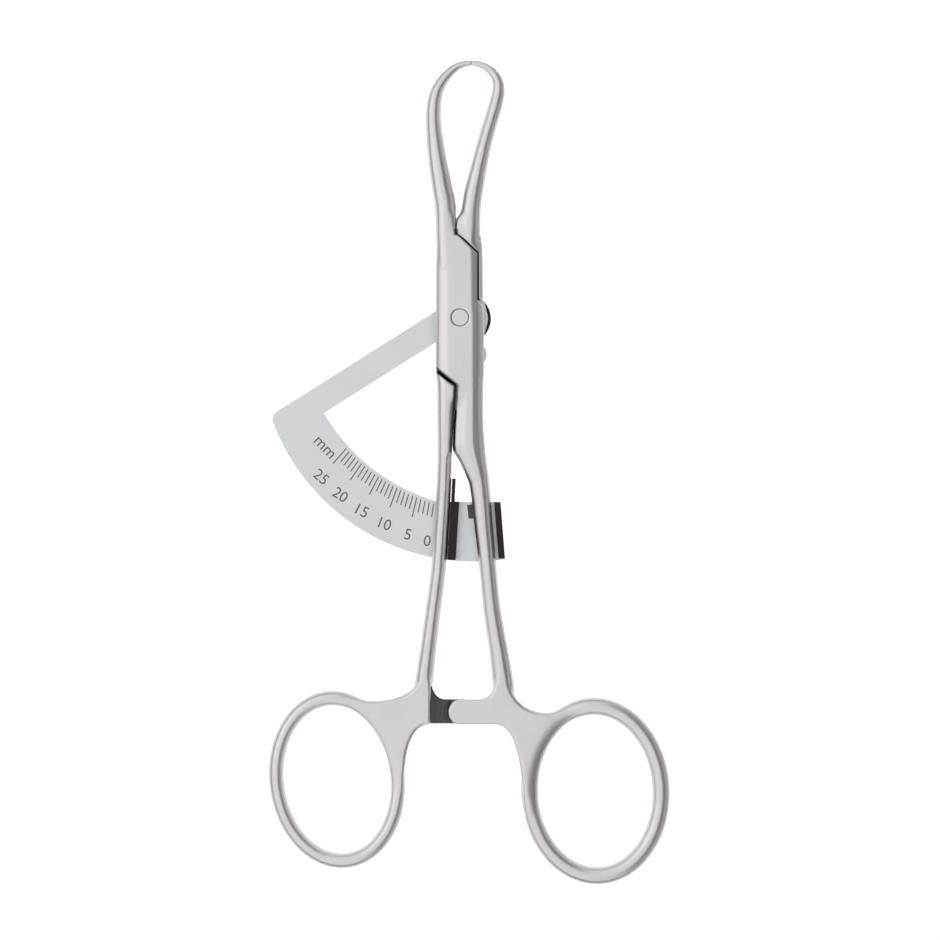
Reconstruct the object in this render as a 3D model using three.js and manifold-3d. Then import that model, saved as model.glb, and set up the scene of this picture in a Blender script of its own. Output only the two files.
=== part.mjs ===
// Bone caliper: a ring-handled box-lock instrument with pointed jaws, a handle ratchet
// and a fixed quadrant scale. Millimetres. The pivot axis is Z, the jaws point along +Y,
// and the flat back of the pivot pin's head is at z = 0.

import * as THREE from 'three';
import { mergeVertices } from 'three/addons/utils/BufferGeometryUtils.js';
import Module from 'manifold-3d';

const wasm = await Module();
wasm.setup();

// Layers, from the back to the front
const pinHeadHeight = 1.0;
const plateThickness = 1.0;
const boxDepth = 5.2;
const tongueThickness = 1.8;
const shankDepth = 3.4;
const ringDepth = 3.0;

// Clearances
const seamGap = 0.2;
const runningGap = 0.15;
const maleInset = 0.15;
const pinClearance = 0.08;
const slideGap = 0.3;
const tabGap = 0.5;
const tipGap = 0.12;
const cutOverrun = 1.0;

// Box lock, seen from the front
const boxWidth = 7.8;
const upperShoulderHigh = 13.9;
const upperShoulderLow = 10.6;
const lowerShoulderHigh = 8.5;
const lowerShoulderLow = 11.1;
const partingSide = 0.65;
const stripWidth = 0.95;
const stripEnd = 2.9;
const tongueHalfWidth = 2.3;
const pillarFoot = 2.2;

// Jaws
const tipReach = 42.2;
const tipSide = 1.96;
const tipWidth = 0.7;
const crotchRise = 2.3;
const leftJawBow = 4.42;
const rightJawBow = 6.32;
const jawWidth = 3.6;
const jawDepth = 5.2;
const shoulderWide = 1.5;
const shoulderDeep = 0.95;
const shoulderMostShare = 0.3;

// Shanks
const shankReach = 63.5;
const leftShankSpread = 6.6;
const rightShankSpread = 7.6;
const leftShankWidth = 2.4;
const rightShankWidth = 2.8;

// Finger rings
const leftHoleWidth = 17.4;
const leftHoleLength = 24.3;
const leftWire = 2.45;
const leftRingSide = 20.1;
const leftRingBelow = 12.0;
const rightHoleWidth = 18.7;
const rightHoleLength = 24.9;
const rightWire = 2.85;
const rightRingSide = 22.15;
const rightRingBelow = 13.9;
const webBevel = 0.5;

// Handle ratchet
const barBelow = 0.9;
const barHeight = 4.0;
const rightBarEnd = 1.9;
const leftBarEnd = 2.7;
const toothPitch = 0.85;
const toothHeight = 0.35;

// Scale plate
const rimRadius = 35.3;
const rimCentreSide = 2.3;
const rimCentreDrop = 4.6;
const bandTaper = 3.3;
const innerShiftSide = 2.94;
const innerShiftRise = 5.25;
const stripHeight = 4.33;
const stripOffset = 1.0;
const hubLobeRadius = 4.1;
const hubLobeSide = 1.0;
const lockLobeRadius = 1.95;
const lockSide = 2.45;
const lockDrop = 5.9;
const tabThickness = 1.05;
const tabRise = 0.8;
const tabInset = 0.5;
const landSide = 3.6;
const cornerRadius = 1.4;
const tabHeight = 4.4;

// Pin, screws, spacer, keeper and rivets
const pinRadius = 1.3;
const pinHeadRadius = 2.4;
const screwRadius = 0.7;
const screwHeadRadius = 1.3;
const screwHeadHeight = 0.85;
const screwSlotWidth = 0.35;
const screwSlotDepth = 0.35;
const lockScrewReach = 1.2;
const endScrewReach = 2.0;
const spacerRadius = 1.25;
const seatDepth = 0.15;
const keeperBarLength = 3.8;
const keeperBlockLength = 9.5;
const keeperBarWidth = 0.55;
const keeperBlockWidth = 1.3;
const keeperDepth = 5.5;
const keeperLegThickness = 0.6;
const keeperWall = 0.95;
const rivetRadius = 0.45;
const rivetHeadRadius = 0.7;
const rivetHeadHeight = 0.35;
const rivetReach = 1.0;

// Angles in degrees
const openAngle = 36;
const stripLean = 32.3;
const leftRingLean = 7.2;
const rightRingLean = 2.65;
const leftWebTurn = 64;
const rightWebTurn = 66;

// Counts
const roundSides = 32;
const arcSides = 180;
const sectionSides = 14;
const ringSteps = 48;
const stepsPerStation = 2;
const bevelSteps = 2;
const curveSteps = 10;
const rivetSides = 20;

const radians = THREE.MathUtils.degToRad;
const crotchReach = upperShoulderHigh + crotchRise;
const plateBack = pinHeadHeight;
const plateFront = plateBack + plateThickness;
const boxBack = plateFront;
const boxFront = boxBack + boxDepth;
const middle = (boxBack + boxFront) / 2;
const halfBox = boxWidth / 2;
const seamSide = halfBox - stripWidth;
const far = tipReach + shankReach + leftHoleLength + rightHoleLength;

// The handle's parts lie below the end of the shanks
const barDrop = shankReach + barBelow;
const leftRingDrop = shankReach + leftRingBelow;
const rightRingDrop = shankReach + rightRingBelow;

// The plate's inner edge is a smaller circle, shifted so that the band widens to the left
const innerRadius = rimRadius - bandTaper;
const innerCentreSide = rimCentreSide + innerShiftSide;
const innerCentreRise = innerShiftRise - rimCentreDrop;

// Distance from the pivot to a circle round a centre, in a direction given as an angle
function reachOf(centreSide, centreRise, radius, turn) {
  const centre = new THREE.Vector2(centreSide, centreRise);
  const along = centre.dot(new THREE.Vector2(Math.cos(turn), Math.sin(turn)));
  return along + Math.sqrt(along ** 2 + radius ** 2 - centre.lengthSq());
}

// The plate's inner edge and rim straight below the pivot carry the tab and the end screw
const straightDown = -Math.PI / 2;
const innerDrop = reachOf(innerCentreSide, innerCentreRise, innerRadius, straightDown);
const rimDrop = reachOf(rimCentreSide, -rimCentreDrop, rimRadius, straightDown);
const tabTop = innerDrop - tabRise;
const tabFoot = rimDrop - tabInset;
const endScrewDrop = (innerDrop + rimDrop) / 2;

// The keeper's slot clears the plate's inner edge when the handles are fully open
const openTurn = straightDown - radians(openAngle) - Math.atan2(leftShankSpread, shankReach);
const throat = reachOf(innerCentreSide, innerCentreRise, innerRadius, openTurn) - slideGap * 2;
const keeperTop = throat - keeperWall;
const keeperStep = keeperTop + keeperBarLength;
const keeperFoot = keeperStep + keeperBlockLength;

// Solids and their joins

function solid(geometry) {
  const bare = geometry.clone();
  bare.deleteAttribute('normal');
  bare.deleteAttribute('uv');
  const merged = mergeVertices(bare);
  const vertProperties = new Float32Array(merged.attributes.position.array);
  const triVerts = new Uint32Array(merged.index.array);
  return new wasm.Manifold(new wasm.Mesh({ numProp: 3, vertProperties, triVerts }));
}

function joined(solids) {
  return solids.reduce((whole, next) => whole.add(next));
}

function polygon(points) {
  return new THREE.Shape(points.map(([x, y]) => new THREE.Vector2(x, y)));
}

// A flat-ended piece of the given outline between two heights, with bevelled edges if asked
function prism(outline, bottom, top, bevel = 0) {
  const geometry = new THREE.ExtrudeGeometry(outline, {
    depth: top - bottom - bevel * 2,
    bevelEnabled: bevel > 0,
    bevelThickness: bevel,
    bevelSize: bevel,
    bevelOffset: -bevel,
    bevelSegments: bevelSteps,
    curveSegments: curveSteps,
  });
  geometry.translate(0, 0, bottom + bevel);
  return solid(geometry);
}

function disc(x, y, radius, bottom, top, sides = roundSides) {
  const geometry = new THREE.CylinderGeometry(radius, radius, top - bottom, sides);
  geometry.rotateX(Math.PI / 2);
  geometry.translate(x, y, (bottom + top) / 2);
  return solid(geometry);
}

// The section of a forged bar: flat faces with sloped shoulders whose corners are softened.
// Each corner stands in from the bar's side and from its face by shares of a shoulder.
const softenShare = 0.3;
const shoulderCorners = [
  [0, 1 + softenShare], [softenShare, 1 - softenShare],
  [1 - softenShare, softenShare], [1 + softenShare, 0],
];

// The corners in order round the bar, each with the side and the face that it lies on
const sectionCorners = [[1, 1], [-1, 1], [-1, -1], [1, -1]].flatMap(([side, face]) => {
  const corners = shoulderCorners.map(([fromSide, fromFace]) => ({ side, face, fromSide, fromFace }));
  return side === face ? corners : corners.reverse();
});

// A bar runs along stations of side, reach, width and depth
function makeBar(stations) {
  const place = ([side, reach]) => new THREE.Vector3(side, reach, 0);
  const size = ([, , width, depth]) => new THREE.Vector3(width, depth, 0);
  return {
    path: new THREE.CatmullRomCurve3(stations.map(place)),
    sizes: new THREE.CatmullRomCurve3(stations.map(size)),
    steps: (stations.length - 1) * stepsPerStation,
  };
}

function barSolid(bar) {
  const spots = [];
  const faces = [];
  const round = sectionCorners.length;
  for (let i = 0; i <= bar.steps; i += 1) {
    const centre = bar.path.getPoint(i / bar.steps);
    const along = bar.path.getTangent(i / bar.steps);
    const size = bar.sizes.getPoint(i / bar.steps);
    const wide = Math.min(shoulderWide, size.x * shoulderMostShare);
    const deep = Math.min(shoulderDeep, size.y * shoulderMostShare);
    for (const { side, face, fromSide, fromFace } of sectionCorners) {
      const across = side * (size.x / 2 - fromSide * wide);
      const height = middle + face * (size.y / 2 - fromFace * deep);
      spots.push(centre.x - along.y * across, centre.y + along.x * across, height);
    }
  }
  const last = bar.steps * round;
  for (let j = 0; j < round; j += 1) {
    const next = (j + 1) % round;
    for (let k = 0; k < last; k += round) {
      faces.push(k + j, k + next, k + round + j, k + next, k + round + next, k + round + j);
    }
    if (j > 1) {
      faces.push(0, j, j - 1, last, last + j - 1, last + j);
    }
  }
  const geometry = new THREE.BufferGeometry();
  geometry.setAttribute('position', new THREE.Float32BufferAttribute(spots, 3));
  geometry.setIndex(faces);
  return solid(geometry);
}

// The point on a bar's edge at a given height, on its left (-1) or right (+1)
function edgeAt(bar, reach, hand) {
  const sizes = bar.path.getPoints(bar.steps * bar.steps);
  const nearest = sizes.reduce((best, spot, i) => (
    Math.abs(spot.y - reach) < Math.abs(sizes[best].y - reach) ? i : best), 0);
  const share = nearest / (sizes.length - 1);
  return sizes[nearest].x + hand * bar.sizes.getPoint(share).x / 2;
}

// Tables of shares for the forged arms

const leftJawShares = [
  [-0.47, 0.19, 0.88, 0.98], [-0.5, 0.33, 0.98, 0.99], [-0.53, 0.43, 0.96, 0.94],
  [-0.65, 0.5, 0.92, 0.87], [-0.78, 0.58, 0.87, 0.79], [-0.89, 0.66, 0.79, 0.71],
  [-0.97, 0.745, 0.72, 0.62], [-0.98, 0.805, 0.68, 0.55], [-0.91, 0.86, 0.61, 0.47],
  [-0.74, 0.905, 0.53, 0.38], [-0.47, 0.943, 0.44, 0.3], [-0.11, 0.975, 0.34, 0.21],
];
const rightJawShares = [
  [0.22, 0.19, 0.92, 0.98], [0.235, 0.33, 1.02, 0.99], [0.286, 0.42, 0.872, 0.94],
  [0.355, 0.49, 0.84, 0.87], [0.475, 0.575, 0.75, 0.79], [0.595, 0.655, 0.69, 0.71],
  [0.73, 0.73, 0.66, 0.62], [0.87, 0.8, 0.64, 0.55], [0.97, 0.857, 0.61, 0.47],
  [1.0, 0.9, 0.53, 0.38], [0.91, 0.94, 0.43, 0.3], [0.68, 0.973, 0.33, 0.21],
];
const leftShankShares = [
  [-0.33, 0.036, 1.32, 1.52], [-0.35, 0.134, 1.18, 1.45], [-0.375, 0.261, 1.0, 1.24],
  [-0.415, 0.382, 0.98, 1.08], [-0.47, 0.48, 1.0, 1.0], [-0.535, 0.596, 1.02, 0.98],
  [-0.665, 0.715, 1.04, 0.95], [-0.79, 0.833, 1.1, 0.92], [-0.9, 0.936, 1.22, 0.9],
  [-0.97, 1, 1.3, 0.88],
];
const rightShankShares = [
  [0.21, 0.019, 1.6, 1.53], [0.2, 0.123, 1.61, 1.45], [0.2, 0.221, 1.8, 1.32],
  [0.3, 0.275, 1.5, 1.23], [0.415, 0.333, 1.18, 1.14], [0.495, 0.446, 1.08, 1.0],
  [0.605, 0.596, 1.0, 0.98], [0.69, 0.715, 1.02, 0.95], [0.83, 0.833, 1.1, 0.92],
  [0.93, 0.936, 1.22, 0.9], [0.96, 1, 1.2, 0.88],
];

function jawBar(shares, bow, hand) {
  const stations = shares.map(([side, reach, width, depth]) => (
    [side * bow, reach * tipReach, width * jawWidth, depth * jawDepth]));
  const point = [tipSide + hand * tipGap / 2, tipReach - tipWidth / 2, tipWidth, tipWidth];
  return makeBar([...stations, point]);
}

function shankBar(shares, spread, width) {
  const reach = (share) => -THREE.MathUtils.lerp(lowerShoulderHigh, shankReach, share);
  return makeBar(shares.map(([side, drop, wide, deep]) => (
    [side * spread, reach(drop), wide * width, deep * shankDepth])));
}

// The box is one bar through the joint, as wide as both arms together. Its ends thin out
// inside the jaws and shanks that leave it. Shares of half the box's width to the left and
// right, of the reach or drop to the crotch or twice the lower shoulder, and of its depth.
const boxShares = [
  [-0.85, 0.6, 1.0, 0.7], [-0.93, 0.8, 0.9, 0.9], [-1.0, 0.93, 0.72, 1.0],
  [-1.0, 0.955, 0.55, 1.0], [-1.0, 0.965, 0.17, 1.0], [-1.0, 1.0, 0.0, 1.0],
  [-1.0, 1.0, -0.25, 1.0], [-1.0, 1.0, -0.42, 1.0], [-0.96, 0.96, -0.5, 1.0],
  [-0.85, 0.8, -0.6, 0.9], [-0.8, 0.7, -0.68, 0.7],
];

function boxBar() {
  return makeBar(boxShares.map(([left, right, reach, depth]) => [
    (left + right) * halfBox / 2,
    reach > 0 ? reach * crotchReach : reach * lowerShoulderLow * 2,
    (right - left) * halfBox,
    depth * boxDepth,
  ]));
}

const leftJaw = jawBar(leftJawShares, leftJawBow, -1);
const rightJaw = jawBar(rightJawShares, rightJawBow, 1);
const leftShank = shankBar(leftShankShares, leftShankSpread, leftShankWidth);
const rightShank = shankBar(rightShankShares, rightShankSpread, rightShankWidth);

// Finger rings, each a round wire bent to an ellipse

function makeRing(side, drop, holeWidth, holeLength, wire, lean) {
  return {
    centre: new THREE.Vector2(side, -drop),
    halfWidth: (holeWidth + wire) / 2,
    halfLength: (holeLength + wire) / 2,
    wire,
    lean: radians(lean),
  };
}

// A point of the ring at a turn counted from its right, moved outward by some distance
function ringPoint(ring, turn, outward) {
  const spot = new THREE.Vector2(ring.halfWidth * Math.cos(turn), ring.halfLength * Math.sin(turn));
  const normal = new THREE.Vector2(ring.halfLength * Math.cos(turn), ring.halfWidth * Math.sin(turn));
  spot.addScaledVector(normal.normalize(), outward);
  return spot.rotateAround(new THREE.Vector2(), ring.lean).add(ring.centre);
}

// The wire is bent from a ring whose own section has a radius of one
const unitRing = 2;

function ringSolid(ring) {
  const geometry = new THREE.TorusGeometry(unitRing, 1, sectionSides, ringSteps);
  const spots = geometry.attributes.position;
  for (let i = 0; i < spots.count; i += 1) {
    const turn = Math.atan2(spots.getY(i), spots.getX(i));
    const outward = Math.hypot(spots.getX(i), spots.getY(i)) - unitRing;
    const spot = ringPoint(ring, turn, outward * ring.wire / 2);
    spots.setXYZ(i, spot.x, spot.y, middle + spots.getZ(i) * ringDepth / 2);
  }
  return solid(geometry);
}

// The forged web that joins shank, ring and ratchet bar
const webTopShare = 0.915;
const webLowTurn = radians(-14);
const webDipShare = 0.2;
const webCoreShare = 0.3;
const webEndShare = 0.42;
const webBlendTurn = radians(12);
const webInsetShare = 0.22;
const webTurnShares = [0.25, 0.5, 0.75];

function webSolid(ring, shank, hand, highTurn) {
  const turned = (turn) => (hand > 0 ? Math.PI - turn : turn);
  const inward = -ring.wire * webCoreShare;
  const top = -shankReach * webTopShare;
  const barTop = -barDrop + barHeight / 2;
  const barBottom = -barDrop - barHeight / 2;
  const inset = hand * ring.wire * webInsetShare;
  const outerEdge = edgeAt(shank, top, hand) - inset;
  const innerEdge = edgeAt(shank, top, -hand) + inset;
  const high = ringPoint(ring, turned(highTurn), ring.wire * webEndShare);
  const highCore = ringPoint(ring, turned(highTurn), inward);
  const highBlend = ringPoint(ring, turned(highTurn - webBlendTurn), ring.wire * webEndShare);
  const low = ringPoint(ring, turned(webLowTurn), ring.wire * webEndShare);
  const lowBlend = ringPoint(ring, turned(webLowTurn + webBlendTurn), ring.wire * webEndShare);
  const lowCore = ringPoint(ring, turned(webLowTurn), inward);
  const shape = new THREE.Shape();
  shape.moveTo(innerEdge, top);
  shape.quadraticCurveTo(innerEdge, barTop, innerEdge - hand * ring.wire, barTop);
  shape.lineTo(innerEdge - hand * ring.wire, -barDrop);
  shape.lineTo(innerEdge, barBottom);
  shape.bezierCurveTo(lowBlend.x, barBottom, lowBlend.x, lowBlend.y, low.x, low.y);
  shape.lineTo(lowCore.x, lowCore.y);
  for (const share of webTurnShares) {
    const turn = THREE.MathUtils.lerp(webLowTurn, highTurn, share);
    const core = ringPoint(ring, turned(turn), inward);
    shape.lineTo(core.x, core.y);
  }
  shape.lineTo(highCore.x, highCore.y);
  shape.lineTo(high.x, high.y);
  const highDip = high.y - ring.wire * webDipShare;
  shape.bezierCurveTo(highBlend.x, highBlend.y, outerEdge, highDip, outerEdge, top);
  return prism(shape, middle - ringDepth / 2, middle + ringDepth / 2, webBevel);
}

const leftRing = makeRing(
  -leftRingSide, leftRingDrop, leftHoleWidth, leftHoleLength, leftWire, leftRingLean);
const rightRing = makeRing(
  rightRingSide, rightRingDrop, rightHoleWidth, rightHoleLength, rightWire, rightRingLean);

// Ratchet bars: a toothed strip cut to a round-ended outline. The right arm's bar lies in
// front with teeth on its back, the left arm's bar lies behind with teeth on its front.
// Each is rooted at its shank's outer edge and toothed from its end to the inner edge.
const barThickness = (ringDepth - runningGap) / 2;
const edges = (shank, hand) => [edgeAt(shank, -barDrop, hand), edgeAt(shank, -barDrop, -hand)];

function ratchetSolid(root, inner, end, facing) {
  const hand = Math.sign(end - root);
  const base = middle + facing * (runningGap / 2 + barThickness);
  const valley = middle + facing * (runningGap / 2 + toothHeight);
  const crest = middle + facing * runningGap / 2;
  const teeth = Math.floor(Math.abs(end - inner) / toothPitch);
  const profile = [[end, base], [root, base], [root, valley]];
  profile.push([end - hand * teeth * toothPitch, valley]);
  for (let i = teeth; i > 0; i -= 1) {
    const start = end - hand * i * toothPitch;
    profile.push([start, crest]);
    profile.push([start + hand * toothPitch, valley]);
  }
  const strip = new THREE.ExtrudeGeometry(polygon(profile), { depth: barHeight, bevelEnabled: false });
  strip.rotateX(Math.PI / 2);
  strip.translate(0, -barDrop + barHeight / 2, 0);
  const radius = barHeight / 2;
  const outline = new THREE.Shape();
  outline.moveTo(root - hand * cutOverrun, -barDrop - radius);
  outline.lineTo(end - hand * radius, -barDrop - radius);
  outline.absarc(end - hand * radius, -barDrop, radius, -Math.PI / 2, Math.PI / 2, hand < 0);
  outline.lineTo(root - hand * cutOverrun, -barDrop + radius);
  const plan = prism(outline, boxBack, boxFront);
  return solid(strip).intersect(plan);
}

// The space that each arm leaves for the other arm's bar
function barRoom(root, facing) {
  const half = barHeight / 2 + runningGap;
  const away = -facing * far;
  const near = middle + facing * runningGap / 2;
  const corner = polygon([
    [root, -barDrop - half], [away, -barDrop - half], [away, -barDrop + half * 2],
    [root, -barDrop + half * 2],
  ]);
  return facing > 0 ? prism(corner, -cutOverrun, near) : prism(corner, near, boxFront + cutOverrun);
}

// The parting between the arms. Each arm keeps to its own side of these lines, except for
// the tongue and the ratchet bars, which pass the other arm in depth.
const upperCorner = [-partingSide, upperShoulderHigh];
const lowerCorner = [-partingSide, -lowerShoulderLow];
const lowerSplit = [-partingSide * 2, -lowerShoulderLow - upperShoulderLow];
const upperMale = [
  [tipSide, far], [tipSide, tipReach], [-partingSide, crotchReach], upperCorner,
  [seamSide, upperShoulderLow], [seamSide, stripEnd], [far, stripEnd], [far, far],
];
const lowerMale = [
  [-halfBox, -lowerShoulderHigh], lowerCorner, lowerSplit, [-partingSide, -far], [-far, -far],
  [-far, -lowerShoulderHigh],
];

// Moves a polygon's corners outward (or inward, with a negative distance)
function grown(points, distance) {
  const size = points.length;
  const turning = THREE.ShapeUtils.area(points.map(([x, y]) => new THREE.Vector2(x, y)));
  const sign = Math.sign(turning);
  return points.map((point, i) => {
    const before = points[(i + size - 1) % size];
    const after = points[(i + 1) % size];
    const one = new THREE.Vector2(point[1] - before[1], before[0] - point[0]).normalize();
    const two = new THREE.Vector2(after[1] - point[1], point[0] - after[0]).normalize();
    const both = one.clone().add(two);
    const reach = sign * distance * 2 / both.lengthSq();
    return [point[0] + both.x * reach, point[1] + both.y * reach];
  });
}

function maleSide(distance) {
  const parts = [upperMale, lowerMale].map((points) => (
    prism(polygon(grown(points, distance)), -cutOverrun, boxFront + cutOverrun)));
  return joined(parts);
}

// The room that the end of the male strip sweeps as the jaws open, stepped along an arc
const sweepShares = [0.35, 0.6, 0.8, 1];

function stripRoom() {
  const radius = Math.hypot(seamSide, stripEnd);
  const arc = sweepShares.map((share) => (
    [Math.sqrt(radius ** 2 - (stripEnd * share) ** 2), stripEnd * share]));
  const outline = polygon([...arc, [far, stripEnd], [far, stripEnd * sweepShares[0]]]);
  return prism(outline, -cutOverrun, boxFront + cutOverrun);
}

function edgeOfTongue(rise) {
  const share = rise / upperShoulderHigh;
  return THREE.MathUtils.lerp(tongueHalfWidth, partingSide, share);
}

// The slot leaves only the upper left and lower right pillars between the two cheeks
function slotSolid() {
  const lowerEdge = THREE.MathUtils.lerp(tongueHalfWidth, -partingSide, pillarFoot / lowerShoulderLow);
  const outline = polygon([
    [-far, pillarFoot], [-edgeOfTongue(pillarFoot) - seamGap, pillarFoot],
    [-partingSide - seamGap, upperShoulderHigh], [-partingSide - seamGap, upperShoulderHigh + seamGap],
    [far, upperShoulderHigh + seamGap], [far, -pillarFoot], [lowerEdge + seamGap, -pillarFoot],
    [-partingSide + seamGap, -lowerShoulderLow], [-partingSide + seamGap, -lowerShoulderLow - seamGap],
    [-far, -lowerShoulderLow - seamGap],
  ]);
  const half = tongueThickness / 2 + runningGap;
  return prism(outline, middle - half, middle + half);
}

// Female arm: left jaw, slotted box, right shank and right ring

function femaleArm() {
  const forged = joined([
    barSolid(boxBar()),
    barSolid(leftJaw),
    barSolid(rightShank),
    ringSolid(rightRing),
    webSolid(rightRing, rightShank, 1, radians(rightWebTurn)),
  ]);
  const bore = disc(0, 0, pinRadius + pinClearance, 0, boxFront + cutOverrun);
  const lockHole = disc(lockSide, -lockDrop, screwRadius + pinClearance,
    0, boxBack + lockScrewReach + pinClearance);
  const seat = disc(endScrewSide, -endScrewDrop, spacerRadius + pinClearance, 0, spacerTop);
  const endHole = disc(endScrewSide, -endScrewDrop, screwRadius + pinClearance,
    0, spacerTop + endScrewReach + pinClearance);
  return forged
    .subtract(maleSide(seamGap / 2))
    .subtract(stripRoom())
    .subtract(barRoom(edgeAt(rightShank, -barDrop, -1), 1))
    .add(ratchetSolid(...edges(rightShank, 1), -rightBarEnd, 1))
    .subtract(slotSolid())
    .subtract(keeperRoom())
    .subtract(bore)
    .subtract(lockHole)
    .subtract(seat)
    .subtract(endHole);
}

const endScrewSide = (edgeAt(rightShank, -endScrewDrop, 1) + edgeAt(rightShank, -endScrewDrop, -1)) / 2;
const spacerTop = middle - shankDepth / 2 + seatDepth;

// Male arm: right jaw, tongue, left shank and left ring

function tongueSolid() {
  const side = halfBox - maleInset;
  const outline = polygon([
    [-tongueHalfWidth, 0], [-side, -stripEnd], [-side, -lowerShoulderHigh - cutOverrun * 2],
    [-partingSide - seamGap, -lowerShoulderLow - cutOverrun], [-partingSide, -lowerShoulderLow],
    [tongueHalfWidth, 0], [side, stripEnd], [side, upperShoulderLow + cutOverrun * 2],
    [-partingSide + seamGap, upperShoulderHigh + cutOverrun], [-partingSide, upperShoulderHigh],
  ]);
  return prism(outline, middle - tongueThickness / 2, middle + tongueThickness / 2);
}

function maleArm() {
  const behind = prism(polygon([[-far, -far], [far, -far], [far, far], [-far, far]]),
    -cutOverrun, boxBack + maleInset);
  const forged = joined([
    barSolid(boxBar()),
    barSolid(rightJaw),
    barSolid(leftShank),
    ringSolid(leftRing),
    webSolid(leftRing, leftShank, -1, radians(leftWebTurn)),
  ]);
  const bore = disc(0, 0, pinRadius + pinClearance, 0, boxFront);
  const rivetHoles = rivetReaches.map((reach) => rivetSolid(reach, pinClearance));
  return forged
    .intersect(maleSide(-seamGap / 2))
    .subtract(behind)
    .subtract(barRoom(edgeAt(leftShank, -barDrop, 1), -1))
    .add(ratchetSolid(...edges(leftShank, -1), leftBarEnd, -1))
    .add(tongueSolid().intersect(barSolid(boxBar())))
    .subtract(bore)
    .subtract(joined(rivetHoles));
}

// Pin and screws

function pinSolid() {
  const head = disc(0, 0, pinHeadRadius, 0, pinHeadHeight);
  return head.add(disc(0, 0, pinRadius, pinHeadHeight / 2, boxFront));
}

function screwSolid(x, y, reach) {
  const bottom = plateBack - screwHeadHeight;
  const head = disc(x, y, screwHeadRadius, bottom, plateBack);
  const shaft = disc(x, y, screwRadius, (bottom + plateBack) / 2, reach);
  const slotHalf = screwSlotWidth / 2;
  const slot = prism(polygon([
    [x - screwHeadRadius * 2, y - slotHalf], [x + screwHeadRadius * 2, y - slotHalf],
    [x + screwHeadRadius * 2, y + slotHalf], [x - screwHeadRadius * 2, y + slotHalf],
  ]), bottom - cutOverrun, bottom + screwSlotDepth);
  return head.add(shaft).subtract(slot);
}

function spacerSolid() {
  return disc(endScrewSide, -endScrewDrop, spacerRadius, plateFront, spacerTop)
    .subtract(disc(endScrewSide, -endScrewDrop, screwRadius + pinClearance, 0, boxFront));
}

// Scale plate

// The outer corner between the strip's upper edge and the rim, turned to a radius
function roundCorner(along, across, upper) {
  const rim = new THREE.Vector2(rimCentreSide, -rimCentreDrop);
  const meet = (height, radius) => {
    const base = across.clone().multiplyScalar(height);
    const toRim = rim.clone().sub(base);
    const level = toRim.dot(along);
    const drop = toRim.lengthSq() - level ** 2;
    return base.addScaledVector(along, level - Math.sqrt(radius ** 2 - drop));
  };
  const tip = meet(upper, rimRadius);
  const centre = meet(upper - cornerRadius, rimRadius - cornerRadius);
  const onStrip = centre.clone().addScaledVector(across, cornerRadius);
  const onRim = centre.clone().add(centre.clone().sub(rim).setLength(cornerRadius));
  const past = tip.clone().add(tip.clone().sub(centre));
  const corner = polygon([onStrip, past, onRim, centre].map((point) => [point.x, point.y]));
  const cut = prism(corner, 0, boxFront);
  const rounded = disc(centre.x, centre.y, cornerRadius, plateBack, plateFront);
  return { cut, rounded };
}

function plateSolid() {
  const lean = radians(stripLean);
  const along = new THREE.Vector2(Math.cos(lean), Math.sin(lean));
  const across = new THREE.Vector2(-along.y, along.x);
  const spot = (down, up) => {
    const point = new THREE.Vector2().addScaledVector(along, down).addScaledVector(across, up);
    return [point.x, point.y];
  };
  const upper = stripOffset + stripHeight / 2;
  const lower = stripOffset - stripHeight / 2;
  const reach = rimRadius * 2;
  const outer = disc(rimCentreSide, -rimCentreDrop, rimRadius, plateBack, plateFront, arcSides);
  const inner = disc(innerCentreSide, innerCentreRise, innerRadius, 0, boxFront, arcSides);
  const below = prism(polygon([spot(-reach, upper), spot(-reach, -reach), spot(reach, -reach),
    spot(reach, upper)]), 0, boxFront);
  const edge = (drop, away) => [edgeAt(rightShank, -drop, 1) + away, -drop];
  const tabOut = tabGap + tabThickness;
  const tab = prism(polygon([edge(tabTop, tabGap), edge(tabFoot, tabGap), edge(tabFoot, tabOut),
    edge(tabTop, tabOut)]), plateBack, plateBack + tabHeight);
  const tabFootSide = edge(tabFoot, tabOut)[0];
  const land = prism(polygon([[-landSide, -tabTop], [-landSide, -endScrewDrop],
    edge(endScrewDrop, tabOut), edge(tabTop, tabOut)]), plateBack, plateFront);
  const leftOfTab = prism(polygon([[0, far], [0, -tabTop], edge(tabTop, tabOut), edge(tabFoot, tabOut),
    [tabFootSide, -far], [-far, -far], [-far, far]]), 0, boxFront);
  const { cut, rounded } = roundCorner(along, across, upper);
  const band = outer.subtract(inner).intersect(below);
  const strip = prism(polygon([spot(-reach, lower), spot(0, lower), spot(0, upper),
    spot(-reach, upper)]), plateBack, plateFront).intersect(outer);
  const lobe = disc(hubLobeSide, 0, hubLobeRadius, plateBack, plateFront);
  const lockLobe = disc(lockSide, -lockDrop, lockLobeRadius, plateBack, plateFront);
  const link = prism(polygon([[hubLobeSide, 0], [hubLobeSide, -lockDrop], [lockSide, -lockDrop],
    [hubLobeRadius, 0]]), plateBack, plateFront);
  const holes = [
    disc(0, 0, pinRadius + pinClearance, 0, boxFront),
    disc(lockSide, -lockDrop, screwRadius + pinClearance, 0, boxFront),
    disc(endScrewSide, -endScrewDrop, screwRadius + pinClearance, 0, boxFront),
  ];
  return joined([band.intersect(leftOfTab), land, tab, strip, lobe, lockLobe, link])
    .subtract(cut)
    .add(rounded)
    .subtract(joined(holes));
}

// Keeper: a C-shaped guide on the left shank's inner side, with the plate in its slot

const keeperBack = plateBack - slideGap - keeperLegThickness;

function keeperLine(drop, away) {
  return [edgeAt(leftShank, -drop, 1) + away, -drop];
}

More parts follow.
